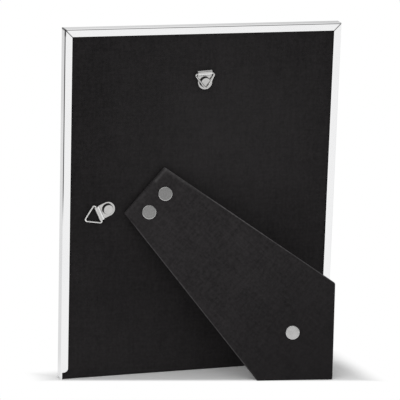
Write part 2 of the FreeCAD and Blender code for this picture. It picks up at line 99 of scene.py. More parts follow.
# Directions of the leg, closed and open: down its length and out of its outer face
CLOSED_RUN = HINGE.cross(BACKWARD)
if CLOSED_RUN.z > 0:
    CLOSED_RUN = -CLOSED_RUN
LEG_RUN = CLOSED_RUN * math.cos(OPENING) + BACKWARD * math.sin(OPENING)
LEG_OUT = BACKWARD * math.cos(OPENING) - CLOSED_RUN * math.sin(OPENING)


def reach(direction, *names):
    """How far the nodes reach along a direction: the least and the most."""
    places = [vertex.co.dot(direction) for name in names
              for vertex in frame["nodes"][name].data.vertices]
    return min(places), max(places)


SIDE_RAILS = ("rail_left", "rail_right")
HALF_WIDTH = reach(ACROSS, *SIDE_RAILS)[1]
FOOT, HEAD = reach(RISE, *SIDE_RAILS)
HEIGHT = HEAD - FOOT
BACK = reach(BACKWARD, *SIDE_RAILS)[1]


# Sizes and colours

class MetalSizes(bpy.types.PropertyGroup):
    rail_colour: FloatVectorProperty(
        name="Rail colour", description="Colour of the polished rails",
        default=(0.93, 0.93, 0.935), subtype="COLOR", min=0, max=1)
    rail_roughness: FloatProperty(
        name="Rail roughness", description="How much the polish spreads a reflection",
        default=0.07, subtype="FACTOR", min=0, max=1)
    flange: FloatProperty(
        name="Flange", description="Width of the rails' back flange",
        default=0.0056, subtype="DISTANCE", unit="LENGTH")
    seam_width: FloatProperty(
        name="Seam width", description="Width of the dark line at each mitre",
        default=0.00075, subtype="DISTANCE", unit="LENGTH")
    hanger_colour: FloatVectorProperty(
        name="Hanger colour", description="Colour of the nickel plated hangers",
        default=(0.59, 0.585, 0.575), subtype="COLOR", min=0, max=1)
    ring_colour: FloatVectorProperty(
        name="Ring colour", description="Colour of the hangers' wire rings",
        default=(0.90, 0.895, 0.88), subtype="COLOR", min=0, max=1)
    rivet_colour: FloatVectorProperty(
        name="Rivet colour", description="Colour of the rivets in the leg",
        default=(0.665, 0.66, 0.655), subtype="COLOR", min=0, max=1)
    crease: FloatProperty(
        name="Crease", description="How far a hanger's crease is from its rivet",
        default=0.0053, subtype="DISTANCE", unit="LENGTH")
    head_radius: FloatProperty(
        name="Head radius", description="Radius of a hanger rivet's head",
        default=0.0036, subtype="DISTANCE", unit="LENGTH")
    steel_colour: FloatVectorProperty(
        name="Steel colour", description="Colour of the hinge and the corner keys",
        default=(0.55, 0.55, 0.54), subtype="COLOR", min=0, max=1)


class BoardSizes(bpy.types.PropertyGroup):
    cover_colour: FloatVectorProperty(
        name="Cover colour", description="Colour of the black covering on the back board",
        default=(0.0122, 0.0111, 0.0116), subtype="COLOR", min=0, max=1)
    leg_colour: FloatVectorProperty(
        name="Leg colour", description="Colour of the black covering on the leg",
        default=(0.0204, 0.0188, 0.0196), subtype="COLOR", min=0, max=1)
    # This colour also serves for the board's painted sheen and light and the leg's painted
    # highlights
    wear_and_light_colour: FloatVectorProperty(
        name="Wear colour", description="Colour of the covering where an edge is rubbed",
        default=(0.125, 0.121, 0.122), subtype="COLOR", min=0, max=1)
    weave_pitch: FloatProperty(
        name="Weave pitch", description="Distance from thread to thread of the covering",
        default=0.0007, subtype="DISTANCE", unit="LENGTH")
    edge_radius: FloatProperty(
        name="Edge radius", description="Radius of the covering where it turns an edge",
        default=0.0006, subtype="DISTANCE", unit="LENGTH")
    cover_rise: FloatProperty(
        name="Cover rise", description="How far the leg's covering stands off its board",
        default=0.00003, subtype="DISTANCE", unit="LENGTH")
    hem: FloatProperty(
        name="Hem", description="Width of the covering turned in on the leg's inner face",
        default=0.010, subtype="DISTANCE", unit="LENGTH")


class RibbonSizes(bpy.types.PropertyGroup):
    width: FloatProperty(
        name="Ribbon width", description="Width of the stay ribbon",
        default=0.012, subtype="DISTANCE", unit="LENGTH")
    thickness: FloatProperty(
        name="Ribbon thickness", description="Thickness of the stay ribbon",
        default=0.0004, subtype="DISTANCE", unit="LENGTH")
    tab: FloatProperty(
        name="Ribbon tab", description="Length of the ribbon past each of its rivets",
        default=0.005, subtype="DISTANCE", unit="LENGTH")
    ribs: IntProperty(
        name="Ribs", description="Number of ribs along the ribbon", default=64, min=4)
    colour: FloatVectorProperty(
        name="Ribbon colour", description="Colour of the stay ribbon",
        default=(0.014, 0.0135, 0.014), subtype="COLOR", min=0, max=1)


class GlazingSizes(bpy.types.PropertyGroup):
    card_colour: FloatVectorProperty(
        name="Card colour", description="Colour of the plain card in the picture's place",
        default=(0.84, 0.82, 0.76), subtype="COLOR", min=0, max=1)
    glass_colour: FloatVectorProperty(
        name="Glass colour", description="Tint of the glass",
        default=(0.990, 0.998, 0.995), subtype="COLOR", min=0, max=1)


class StageSizes(bpy.types.PropertyGroup):
    floor_reach: FloatProperty(
        name="Floor reach", description="How far the floor reaches from the frame",
        default=1.0, subtype="DISTANCE", unit="LENGTH")
    floor_colour: FloatVectorProperty(
        name="Floor colour", description="Colour of the floor",
        default=(0.84, 0.84, 0.84), subtype="COLOR", min=0, max=1)
    shadow_reach: FloatProperty(
        name="Shadow reach", description="Distance at which the floor's shadow has faded out",
        default=0.022, subtype="DISTANCE", unit="LENGTH")
    sky_level: FloatProperty(
        name="Sky level", description="Strength of the studio's light from all sides",
        default=0.85, min=0)
    lamp_power: FloatProperty(
        name="Lamp power", description="Power of the soft lamp above the frame",
        default=6.0, unit="POWER", min=0)
    lens: FloatProperty(
        name="Lens", description="Focal length of the camera",
        default=192.27, subtype="DISTANCE_CAMERA", unit="CAMERA")


class PhotoFrameSizes(bpy.types.PropertyGroup):
    metal: PointerProperty(type=MetalSizes)
    board: PointerProperty(type=BoardSizes)
    ribbon: PointerProperty(type=RibbonSizes)
    glazing: PointerProperty(type=GlazingSizes)
    stage: PointerProperty(type=StageSizes)


# Finishes

class Signal:
    """What one node gives out, ready to take part in sums with others."""

    def __init__(self, finish, socket):
        self.finish = finish
        self.socket = socket

    def __add__(self, other):
        return self.finish.sum("ADD", self, other)

    __radd__ = __add__

    def __sub__(self, other):
        return self.finish.sum("SUBTRACT", self, other)

    def __rsub__(self, other):
        return self.finish.sum("SUBTRACT", other, self)

    def __mul__(self, other):
        return self.finish.sum("MULTIPLY", self, other)

    __rmul__ = __mul__

    def __truediv__(self, other):
        return self.finish.sum("DIVIDE", self, other)

    def __pow__(self, other):
        return self.finish.sum("POWER", self, other)

    def __abs__(self):
        return self.finish.sum("ABSOLUTE", self)

    def limited(self):
        """Held between 0 and 1."""
        return self.finish.sum("MAXIMUM", self.finish.sum("MINIMUM", self, 1), 0)

    def between(self, low, high):
        """Rises smoothly from 0 at one value to 1 at another."""
        settings = {"interpolation_type": "SMOOTHSTEP"}
        values = {0: self, 1: low, 2: high, 3: 0, 4: 1}
        return self.finish.node("ShaderNodeMapRange", settings, values)

    def falling(self, low, high):
        """Falls smoothly from 1 at one value to 0 at another."""
        return 1 - self.between(low, high)

    def blended(self, other, share):
        """Goes over to another value as the share rises to 1."""
        return self + (other - self) * share


class Finish:
    """The nodes of one material or of the studio's surroundings."""

    def __init__(self, owner):
        owner.use_nodes = True
        self.owner = owner
        self.tree = owner.node_tree
        self.tree.nodes.clear()

    def node(self, kind, settings=None, values=None, output=0):
        """Add a node: first its settings, then the values or links of its sockets."""
        made = self.tree.nodes.new(kind)
        for name, setting in (settings or {}).items():
            setattr(made, name, setting)
        for name, value in (values or {}).items():
            if isinstance(value, Signal):
                self.tree.links.new(value.socket, made.inputs[name])
            else:
                made.inputs[name].default_value = value
        return Signal(self, made.outputs[output])

    def sum(self, operation, *values):
        """One step of a sum on numbers."""
        return self.node("ShaderNodeMath", {"operation": operation}, dict(enumerate(values)))

    def mix(self, share, first, second):
        """Blend from the first colour to the second."""
        values = {0: share, 6: colour(first), 7: colour(second)}
        return self.node("ShaderNodeMix", {"data_type": "RGBA"}, values, 2)

    def place(self):
        """The place on the piece, in the shared frame."""
        return self.node("ShaderNodeTexCoord", output="Object")

    def along(self, direction, place=None):
        """The place measured along a direction, in metres."""
        values = {0: place or self.place(), 1: direction}
        return self.node("ShaderNodeVectorMath", {"operation": "DOT_PRODUCT"}, values, 1)

    def grid(self, *directions):
        """The place in a set of directions, each with its own scale."""
        measures = [self.along(direction) for direction in directions]
        return self.node("ShaderNodeCombineXYZ", None, dict(enumerate(measures)))

    def inside(self, edge, out):
        """How far in from a straight edge of a face that looks out."""
        inward = out.cross(edge[1] - edge[0]).normalized()
        return self.along(inward) - inward.dot(edge[0])

    def down(self, edge):
        """How far along a straight edge from its start."""
        direction = (edge[1] - edge[0]).normalized()
        return self.along(direction) - direction.dot(edge[0])

    def noise(self, scale, place=None, detail=2.0, roughness=0.5):
        """Cloudy noise, with so many cells to a metre."""
        values = {"Vector": place or self.place(), "Scale": scale, "Detail": detail,
                  "Roughness": roughness}
        return self.node("ShaderNodeTexNoise", None, values)

    def ray(self, kind):
        """1 for the rays of one kind, 0 for all others."""
        return self.node("ShaderNodeLightPath", output="Is " + kind + " Ray")

    def bump(self, height, strength, distance):
        """The normal of a surface with this relief."""
        values = {"Height": height, "Strength": strength, "Distance": distance}
        return self.node("ShaderNodeBump", None, values)

    def surface(self, shader):
        """Finish with a shader and give back the material."""
        self.node_output("ShaderNodeOutputMaterial", shader)
        return self.owner

    def node_output(self, kind, shader):
        """Link a shader to an output node of this kind."""
        made = self.tree.nodes.new(kind)
        self.tree.links.new(shader.socket, made.inputs["Surface"])

    def principled(self, **values):
        """Finish with the usual shader; the names of its values have _ for a space."""
        named = {name.replace("_", " "): value for name, value in values.items()}
        return self.surface(self.node("ShaderNodeBsdfPrincipled", None, named))


def colour(value):
    """A colour as a socket wants it, or a signal as it is."""
    if isinstance(value, Signal):
        return value
    return (*value[:3], 1.0)


def finish_named(name):
    """A new, empty finish."""
    return Finish(bpy.data.materials.new(name))


def coat(material, *names):
    """Give the nodes this material."""
    for name in names:
        for place in frame["nodes"][name].material_slots:
            place.material = material


def sizes():
    """The sizes and colours that the sidebar's groups hold."""
    return bpy.context.scene.photo_frame


def shaded(tint, share):
    """The tint made darker or lighter."""
    return [part * share for part in tint]


def near(level, fade):
    """Where a fade starts and ends, from its distances past a level."""
    return level + fade[0], level + fade[1]


# Marks on the rails, some of them painted light: each pair is where a mark fades, in metres.
# A depth is measured outward from the back of the flanges, the left side from the centre line,
# the painted highlight from the flange's inner edge, and the rest inward from the outer edges.
LEFT_SIDE = (0, 0.01)
LEDGE_DEPTH = (-0.0061, -0.0059)
NO_SEAM = 0.01
CORNER_REACH = (0.0005, 0.0045)
CORNER_WIDENING = 1.4
CORNER_REFLECTION_ACROSS = (0.0004, 0.0013)
CORNER_REFLECTION_DEPTH = (-0.0014, -0.0005)
CORNER_REFLECTION_START = (0.0012, 0.0022)
CORNER_REFLECTION_END = (0.0035, 0.006)
LINE_ACROSS = (0.0004, 0.0008)
LINE_DEPTH = (-0.0008, -0.0004)
LINE_END = (0.112, 0.145)
HIGHLIGHT_ACROSS = (-0.0008, -0.0004)
HIGHLIGHT_DEPTH = (-0.0012, -0.0004)

WHITE = (1.0, 1.0, 1.0)
SMUDGE_COLOUR = (0.84, 0.85, 0.86)
# The colour of the painted dark reflection down the left rounding, then the colour of the dark
# seams, which the painted dark reflection under the corner shares
DARK_REFLECTION_COLOUR = (0.03, 0.03, 0.03)
GAP_AND_DARK_REFLECTION_COLOUR = (0.012, 0.012, 0.013)

HAIRLINES = (ACROSS * 60, RISE * 60, BACKWARD * 3000)
SMUDGE_SCALE = 38.0
WAVE_SCALE = 24.0


def polished_rail():
    """Polished plate: hairlines, dark mitres, a painted highlight and painted dark reflections.
    """
    own = sizes().metal
    metal = finish_named("polished_rail")
    across = metal.along(ACROSS)
    rise = metal.along(RISE)
    depth = metal.along(BACKWARD)
    from_side = HALF_WIDTH - abs(across)
    from_top = HEAD - rise
    from_foot = rise - FOOT
    on_left = across.between(*LEFT_SIDE)
    # The mitres, without a foot seam behind the bottom rail's ledge
    top_seam = abs(from_side - from_top)
    behind_ledge = depth.between(*near(BACK, LEDGE_DEPTH))
    foot_seam = abs(from_side - from_foot) + behind_ledge * NO_SEAM
    at_corner = (from_side + from_top).falling(*CORNER_REACH) * on_left
    width = own.seam_width * (1 + at_corner * CORNER_WIDENING)
    seam = metal.sum("MINIMUM", top_seam, foot_seam).falling(0, width)
    # Painted dark reflections: a dark mark on the left rounding under the corner, and a dark
    # line down the rounding from there
    corner_reflection = from_side.falling(*CORNER_REFLECTION_ACROSS) * depth.between(*near(BACK, CORNER_REFLECTION_DEPTH))
    corner_reflection = corner_reflection * from_top.between(*CORNER_REFLECTION_START) * from_top.falling(*CORNER_REFLECTION_END) * on_left
    # the dark seams, together with the painted dark reflection under the left corner
    dark = metal.sum("MAXIMUM", seam, corner_reflection)
    line = from_side.falling(*LINE_ACROSS) * depth.between(*near(BACK, LINE_DEPTH))
    line = line * on_left * from_top.falling(*LINE_END)
    # Painted highlight: the inner edge of the flanges, painted white
    from_edge = metal.sum("MINIMUM", from_side, from_top)
    edge_highlight = from_edge.between(*near(own.flange, HIGHLIGHT_ACROSS))
    edge_highlight = edge_highlight * depth.between(*near(BACK, HIGHLIGHT_DEPTH))
    hairline = metal.noise(1.0, metal.grid(*HAIRLINES), detail=3.0)
    smudge = metal.noise(SMUDGE_SCALE, detail=3.0)
    tint = metal.mix(smudge.between(0.35, 0.75) * 0.10, own.rail_colour, SMUDGE_COLOUR)
    # the painted highlight, white along the flanges' inner edge
    tint = metal.mix(edge_highlight, tint, WHITE)
    # the painted dark reflection down the left rounding, then the seams and the painted dark
    # reflection under the corner
    tint = metal.mix(line * 0.97, tint, DARK_REFLECTION_COLOUR)
    tint = metal.mix(dark * 0.93, tint, GAP_AND_DARK_REFLECTION_COLOUR)
    rough = own.rail_roughness + smudge.between(0.45, 0.8) * 0.05 + hairline * 0.02
    height = metal.noise(WAVE_SCALE, detail=1.0) * 0.6 + hairline * 0.0012
    return metal.principled(
        Base_Color=tint, Metallic=1.0, Roughness=rough + dark * 0.5,
        Normal=metal.bump(height, strength=0.12, distance=0.0006))


# Scratches and dull spots on plated metal, and the colours of a painted highlight and shadow
SCRATCH_RUNS = ((ACROSS + RISE * 0.4) * 9, (RISE - ACROSS * 0.4) * 1.2, BACKWARD * 6)
SPOT_SCALE = 420.0
HIGHLIGHT_COLOUR = (0.97, 0.97, 0.97)
PAINTED_SHADOW_COLOUR = (0.02, 0.02, 0.02)


def plated(name, tint, roughness, scratch_scale, relief=0.25, wear_and_painted_light=None):
    """Plated sheet or wire with fine scratches and dull spots.

    The painted light, where it is given, makes from the finish a share with a painted
    highlight and a share with a painted shadow.
    """
    metal = finish_named(name)
    runs = metal.grid(*SCRATCH_RUNS)
    scratch = metal.noise(scratch_scale, runs, detail=4.0, roughness=0.65)
    dull = metal.noise(SPOT_SCALE, detail=4.0)
    shade = metal.mix(dull.between(0.3, 0.75) * 0.35, tint, shaded(tint, 0.78))
    rough = roughness * (1 + scratch.between(0.4, 0.8) * 0.7 + dull.between(0.5, 0.8) * 0.3)
    metallic = 1.0
    if wear_and_painted_light:
        bright, painted_shadow = wear_and_painted_light(metal)
        # the painted highlight, white and less metallic, and the painted shadow, dark and
        # rougher
        shade = metal.mix(bright, shade, HIGHLIGHT_COLOUR)
        shade = metal.mix(painted_shadow, shade, PAINTED_SHADOW_COLOUR)
        rough = rough + painted_shadow * 0.4
        metallic = 1 - bright * 0.9
    return metal.principled(
        Base_Color=shade, Metallic=metallic, Roughness=rough,
        Normal=metal.bump(scratch + dull * 0.5, strength=relief, distance=0.00005))


# Painted light on the hangers: each pair is where a mark fades, in metres past the crease,
# # the end of the strap's fold, the top of its loop, the top of the rivet's head, or the inner
# # or the outer edge of the painted shadow round the head, which is wider at the upper left
CREASE_START = (-0.0007, -0.0001)
CREASE_END = (0.0006, 0.0012)
FOLD_END = (-0.0012, -0.0005)
LOOP_TOP = (-0.0016, -0.0011)
HEAD_TOP = (-0.0006, -0.0003)
RIM_START = (-0.0001, 0.0001)
RIM_END = (0, 0.0003)
RIM_HALF = 0.0002
RIM_BEYOND = 0.0004
UPPER_LEFT = ACROSS * 0.9 + RISE * 0.8


def hanger_painted_light(place):
    """One hanger's painted highlight at its crease and fold, and painted shadow round its
    rivet.
    """
    own = sizes().metal
    rivet_name, strap_name = place + "_hanger_rivet", place + "_hanger_strap"
    rivet = Vector(joints[place + "_strap_swivel"]["pos_m"])
    fold = Vector(joints[place + "_ring_swing"]["pos_m"]) - rivet
    fold = (fold - BACKWARD * fold.dot(BACKWARD)).normalized()
    beside = fold.cross(BACKWARD)
    head_top = reach(BACKWARD, rivet_name)[1]
    loop_top = reach(BACKWARD, strap_name)[1]
    fold_end = reach(fold, strap_name)[1] - fold.dot(rivet)

    def wear_and_painted_light(metal):
        down = metal.along(fold) - fold.dot(rivet)
        side = metal.along(beside) - beside.dot(rivet)
        depth = metal.along(BACKWARD)
        # Painted highlight along the crease below the loop's top, and at the fold's end
        bright = down.between(*near(own.crease, CREASE_START))
        bright = bright * down.falling(*near(own.crease, CREASE_END))
        bright = bright * depth.between(*near(loop_top, LOOP_TOP))
        bent = down.between(*near(fold_end, FOLD_END)) * 0.30
        # Painted shadow round the rivet's head and down its side, wider at the upper left
        out = (down * down + side * side) ** 0.5
        aside = metal.along(UPPER_LEFT) - rivet.dot(UPPER_LEFT)
        upper_left = (aside / own.head_radius).between(0.1, 0.9)
        inner = own.head_radius - RIM_HALF - upper_left * RIM_HALF
        outer = own.head_radius + RIM_HALF + upper_left * RIM_BEYOND
        rim = out.between(*near(inner, RIM_START)) * out.falling(*near(outer, RIM_END))
        low = depth.falling(*near(head_top, HEAD_TOP))
        painted_shadow = rim * (low + upper_left).limited()
        return metal.sum("MAXIMUM", bright, bent), painted_shadow * 0.9
    return wear_and_painted_light


# Patterns of the covering: scales per metre and the colour of its lint
THREAD_SHORT = 620
THREAD_LONG = 65
THREAD_DEPTH = 300
GRAIN_SCALE = 470.0
CLOUD_SCALE = 22.0
NAP_SCALE = 2600.0
LINT_SCALE = 210.0
LINT_PATCH_SCALE = 60.0
LINT_COLOUR = (0.09, 0.09, 0.09)


class Covering:
    """Black covering with a fine weave, mottled nap and lint."""

    def __init__(self, name, tint, run, over, out):
        own = sizes().board
        cloth = finish_named(name)
        self.cloth = cloth
        turn = math.tau / own.weave_pitch
        warp = cloth.sum("SINE", cloth.along(over * turn))
        weft = cloth.sum("SINE", cloth.along(run * turn))
        depth = out * THREAD_DEPTH
        down_thread = cloth.grid(over * THREAD_SHORT, run * THREAD_LONG, depth)
        over_thread = cloth.grid(over * THREAD_LONG, run * THREAD_SHORT, depth)
        streak = cloth.noise(1.0, down_thread, detail=3.0, roughness=0.6)
        slub = cloth.noise(1.0, over_thread, detail=3.0, roughness=0.6)
        weave = warp * streak + weft * slub
        grain = cloth.noise(GRAIN_SCALE, detail=4.0, roughness=0.72)
        cloud = cloth.noise(CLOUD_SCALE, detail=4.0, roughness=0.6)
        nap = cloth.noise(NAP_SCALE, detail=3.0, roughness=0.7)
        light = cloud.between(0.3, 0.7) * 0.18 + grain.between(0.3, 0.7) * 0.36
        light = light + streak.between(0.32, 0.68) * 0.15 + slub.between(0.32, 0.68) * 0.13
        light = light + weave.between(-1.1, 1.1) * 0.18
        shade = cloth.mix(light, shaded(tint, 0.40), shaded(tint, 1.75))
        cells = {"Scale": LINT_SCALE, "Randomness": 1.0}
        fleck = cloth.node("ShaderNodeTexVoronoi", None, cells)
        lint = fleck.falling(0.05, 0.13) * cloth.noise(LINT_PATCH_SCALE).between(0.5, 0.56)
        self.shade = cloth.mix(lint * 0.55, shade, LINT_COLOUR)
        self.height = weave * 0.35 + nap * 0.8 + grain * 0.7
        self.rough = 0.82 + nap * 0.12

    def lighten(self, share, tint):
        """Bring out another colour where the share is high."""
        self.shade = self.cloth.mix(share, self.shade, tint)

    def finished(self):
        """The material, with all that has been painted on it."""
        return self.cloth.principled(
            Base_Color=self.shade, Roughness=self.rough, Specular_IOR_Level=0.10,
            Sheen_Weight=0.03, Sheen_Roughness=0.5, Sheen_Tint=(1, 1, 1, 1),
            Normal=self.cloth.bump(self.height, strength=0.45, distance=0.00009))


# Painted light on the board's covering: how far the middle of its painted sheen is to the right
# # and up the height, its reach and how much narrower than high it is, and how far up the lower
# # part is painted paler
SHEEN_ASIDE = 0.012
SHEEN_HEIGHT_SHARE = 0.64
SHEEN_REACH = 0.15
SHEEN_SQUEEZE = 1.3
LOWER_SHARE = 0.5


def board_covering():
    """The back board's covering, with a painted sheen round its middle and painted light below.
    """
    own = sizes().board
    cover = Covering("board_covering", own.cover_colour, RISE, ACROSS, BACKWARD)
    cloth = cover.cloth
    # Painted sheen: a broad paler patch right of the board's middle
    across = cloth.along(ACROSS) + SHEEN_ASIDE
    rise = cloth.along(RISE) - (FOOT + HEIGHT * SHEEN_HEIGHT_SHARE)
    spread = (across * across * SHEEN_SQUEEZE + rise * rise) ** 0.5
    cover.lighten(spread.falling(0, SHEEN_REACH) * 0.07, own.wear_and_light_colour)
    # Painted light: paler towards the bottom of the board
    low = cloth.along(RISE).falling(FOOT, FOOT + HEIGHT * LOWER_SHARE)
    cover.lighten(low * 0.042, own.wear_and_light_colour)
    return cover.finished()


# Wear and painted light on the leg's covering: each pair is where a mark fades, in metres past
# # the outer or the inner face, in from an edge, along a long edge from the hinge, or along the
# # hinge's end from its upper corner
OUTER_SKIN = (-0.0016, -0.0002)
INNER_SKIN = (0.0003, 0.0006)
HEM_EDGE = (-0.0002, 0.0002)
BROAD_END = (0.010, 0.045)
CRISP_START = (0.02, 0.05)
CRISP_EASED = (0.06, 0.10)
LOWER_START = (0, 0.02)
RUB_START = 0.0001
RUB_WIDTH = 0.0011
BROAD_WIDTH = 0.0022
END_RUB_START = (0.0002, 0.0012)
END_RUB_END = (0.0005, 0.009)
PLEAT_START = (0.0006, 0.0018)
PLEAT_END = (0.0022, 0.0034)
PLEAT_LENGTH = (0.0105, 0.0125)
PLEAT_PALER = (0.007, 0.0105)
DIMMED_SHARE = 0.40
FRAY_SCALE = 300.0
LINING_COLOUR = (0.035, 0.035, 0.037)


def wear_and_highlight_long_edge(cover, edge, skin, frayed):
    """Wear and painted highlight on a long edge: the upper, lit one broadly at the hinge,
    crisply below.
    """
    cloth = cover.cloth
    from_hinge = cloth.down(sorted(edge, key=lambda place: place.dot(LEG_RUN)))
    # The upper edge faces the light: besides its wear it gets a stronger painted highlight
    if LEG_OUT.cross(edge[1] - edge[0]).z < 0:
        broad = from_hinge.falling(*BROAD_END)
        crisp = from_hinge.between(*CRISP_START) - from_hinge.between(*CRISP_EASED) * 0.45
        strength = broad * 0.38 + crisp
        width = RUB_WIDTH + broad * BROAD_WIDTH
    else:
        strength = from_hinge.between(*LOWER_START) * 0.60
        width = RUB_WIDTH
    band = cloth.inside(edge, LEG_OUT).falling(RUB_START, width)
    share = band * skin * strength * (0.35 + frayed * 0.65)
    cover.lighten(share.limited(), sizes().board.wear_and_light_colour)


def wear_and_highlight_hinge_end(cover, edge, skin, frayed):
    """Rub the leg's end at the hinge, and paint a highlight on a pleat at its upper corner."""
    cloth = cover.cloth
    wear_and_light_colour = sizes().board.wear_and_light_colour
    from_end = cloth.inside(edge, LEG_OUT)
    wear_and_painted_light = from_end.falling(*END_RUB_END) * from_end.between(*END_RUB_START)
    cover.lighten(wear_and_painted_light * skin * frayed * 0.11, wear_and_light_colour)
    from_corner = cloth.down(sorted(edge, key=lambda place: -place.z))
    # Painted highlight: a pleat of the covering at the upper corner, painted lighter
    pleat = from_end.between(*PLEAT_START) * from_end.falling(*PLEAT_END)
    pleat = pleat * from_corner.falling(*PLEAT_LENGTH)
    pleat = pleat * (0.7 + from_corner.between(*PLEAT_PALER) * 0.3)
    cover.lighten(pleat * skin * 0.27, wear_and_light_colour)


def line_inner_face(cover, edges, low):
    """Show the lining on the leg's inner face, inside the hem of the covering."""
    cloth = cover.cloth
    inset = cloth.inside(edges[0], LEG_OUT)
    for edge in edges[1:]:
        inset = cloth.sum("MINIMUM", inset, cloth.inside(edge, LEG_OUT))
    lined = inset.between(*near(sizes().board.hem, HEM_EDGE))
    lined = lined * cloth.along(LEG_OUT).falling(*near(low, INNER_SKIN))
    cover.lighten(lined, LINING_COLOUR)
    cover.height = cover.height - lined * 1.5


def leg_covering(edges, low, high):
    """Leg covering: painted shade at the foot, wear and painted highlights at edges, lined
    inside.
    """
    own = sizes().board
    cover = Covering("leg_covering", own.leg_colour, LEG_RUN, HINGE, LEG_OUT)
    cloth = cover.cloth
    runs = [edge[0].dot(LEG_RUN) for edge in edges]
    top, foot = min(runs), max(runs)
    # Painted shade: darker towards the foot
    painted_foot_shade = cloth.along(LEG_RUN).between(top + (foot - top) * DIMMED_SHARE, foot)
    cover.lighten(painted_foot_shade * 0.62, shaded(own.leg_colour, 0.45))
    frayed = cloth.noise(FRAY_SCALE, detail=5.0, roughness=0.7).between(0.25, 0.75)
    skin = cloth.along(LEG_OUT).between(*near(high, OUTER_SKIN))
    for edge in sorted(edges, key=lambda edge: (edge[1] - edge[0]).length)[-2:]:
        wear_and_highlight_long_edge(cover, edge, skin, frayed)
    hinge_end = min(edges, key=lambda edge: (edge[0] + edge[1]).dot(LEG_RUN))
    wear_and_highlight_hinge_end(cover, hinge_end, skin, frayed)
    line_inner_face(cover, edges, low)
    return cover.finished()


def paper(name, tint, fibre):
    """Board or paper with short fibres and faint clouds."""
    sheet = finish_named(name)
    cloud = sheet.noise(60.0, detail=4.0)
    strands = sheet.grid(ACROSS * fibre, RISE * fibre * 0.2, BACKWARD * fibre)
    strand = sheet.noise(1.0, strands, detail=5.0, roughness=0.7)
    share = cloud.between(0.3, 0.7) * 0.2 + strand.between(0.4, 0.7) * 0.5
    return sheet.principled(
        Base_Color=sheet.mix(share, tint, shaded(tint, 0.90)),
        Roughness=0.85 + strand * 0.1, Specular_IOR_Level=0.25,
        Normal=sheet.bump(strand, strength=0.3, distance=0.00006))


def clear_glass():
    """Clear glass with a trace of dust."""
    own = sizes().glazing
    glass = finish_named("clear_glass")
    dust = glass.noise(90.0, detail=5.0).between(0.5, 0.85)
    return glass.principled(
        Base_Color=glass.mix(dust * 0.02, own.glass_colour, (0.8, 0.8, 0.8)),
        Roughness=dust * 0.03, IOR=1.5, Transmission_Weight=1.0)


def ribbon_finish():
    """Black ribbon of fine threads."""
    own = sizes().ribbon
    cloth = finish_named("ribbed_ribbon")
    thread = cloth.noise(5200.0, detail=3.0, roughness=0.7)
    dark, pale = shaded(own.colour, 0.6), shaded(own.colour, 2.4)
    return cloth.principled(
        Base_Color=cloth.mix(thread.between(0.3, 0.8), dark, pale),
        Roughness=0.62 + thread * 0.2, Specular_IOR_Level=0.3,
        Sheen_Weight=0.1, Sheen_Roughness=0.4,
        Normal=cloth.bump(thread, strength=0.5, distance=0.00006))


# Shapes

def piece(name, mesh_data, material, body):
    """A shown piece made from a bmesh, which rides on a body."""
    mesh = bpy.data.meshes.new(name)
    mesh_data.to_mesh(mesh)
    mesh_data.free()
    for face in mesh.polygons:
        face.use_smooth = True
    made = bpy.data.objects.new(name, mesh)
    bpy.context.scene.collection.objects.link(made)
    made.data.materials.append(material)
    if body:
        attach(made, body)
    return made


def length_of(points):
    """How long the line through the points is."""
    return sum((end - start).length for start, end in zip(points, points[1:]))


def join_rows(made, rows):
    """Join each row of corners, which runs round a ring, to the next."""
    for upper, lower in zip(rows, rows[1:]):
        for index in range(len(upper)):
            after = (index + 1) % len(upper)
            made.faces.new((upper[index], upper[after], lower[after], lower[index]))


TOUCHING = 1e-6


def face_outline(name, direction):
    """The outer edge of the flat face of a node that looks along a direction, in order."""
    sheet = bmesh.new()
    sheet.from_mesh(frame["nodes"][name].data)
    bmesh.ops.remove_doubles(sheet, verts=sheet.verts, dist=TOUCHING)
    level = max(vertex.co.dot(direction) for vertex in sheet.verts)
    faces = {face for face in sheet.faces
             if all(abs(vertex.co.dot(direction) - level) < TOUCHING for vertex in face.verts)}
    rim = [edge for edge in sheet.edges
           if sum(face in faces for face in edge.link_faces) == 1]
    loops = []
    while rim:
        edge = rim.pop(0)
        loop = list(edge.verts)
        while loop[-1] is not loop[0]:
            edge = next(other for other in loop[-1].link_edges if other in rim)
            rim.remove(edge)
            loop.append(edge.other_vert(loop[-1]))
        loops.append([vertex.co.copy() for vertex in loop[:-1]])
    sheet.free()
    return max(loops, key=len)


def resampled(loop, pitch):
    """The loop with its long runs divided, so that no step is longer than the pitch."""
    points = []
    for index, point in enumerate(loop):
        following = loop[(index + 1) % len(loop)]
        parts = max(1, math.ceil((following - point).length / pitch))
        points += [point.lerp(following, part / parts) for part in range(parts)]
    return points


def inward(loop, normal):
    """At each point of a loop, the direction into it that keeps straight runs parallel."""
    middle = sum(loop, Vector()) / len(loop)
    directions = []
    for index, point in enumerate(loop):
        before = (point - loop[index - 1]).normalized()
        after = (loop[(index + 1) % len(loop)] - point).normalized()
        side = (before + after).cross(normal).normalized()
        if side.dot(middle - point) < 0:
            side.negate()
        square = before.cross(normal).normalized()
        directions.append(side / abs(side.dot(square)))
    return directions


def straight_edges(outline, out, least):
    """The long straight edges of a face that looks out, each with the face on its left."""
    middle = sum(outline, Vector()) / len(outline)
    edges = []
    for index, end in enumerate(outline):
        start = outline[index - 1]
        if (end - start).length > least:
            left = out.cross(end - start).dot(middle - start) > 0
            edges.append((start, end) if left else (end, start))
    return edges


ARC_STEPS = 6
OVERLAP_SHARE = 1.25


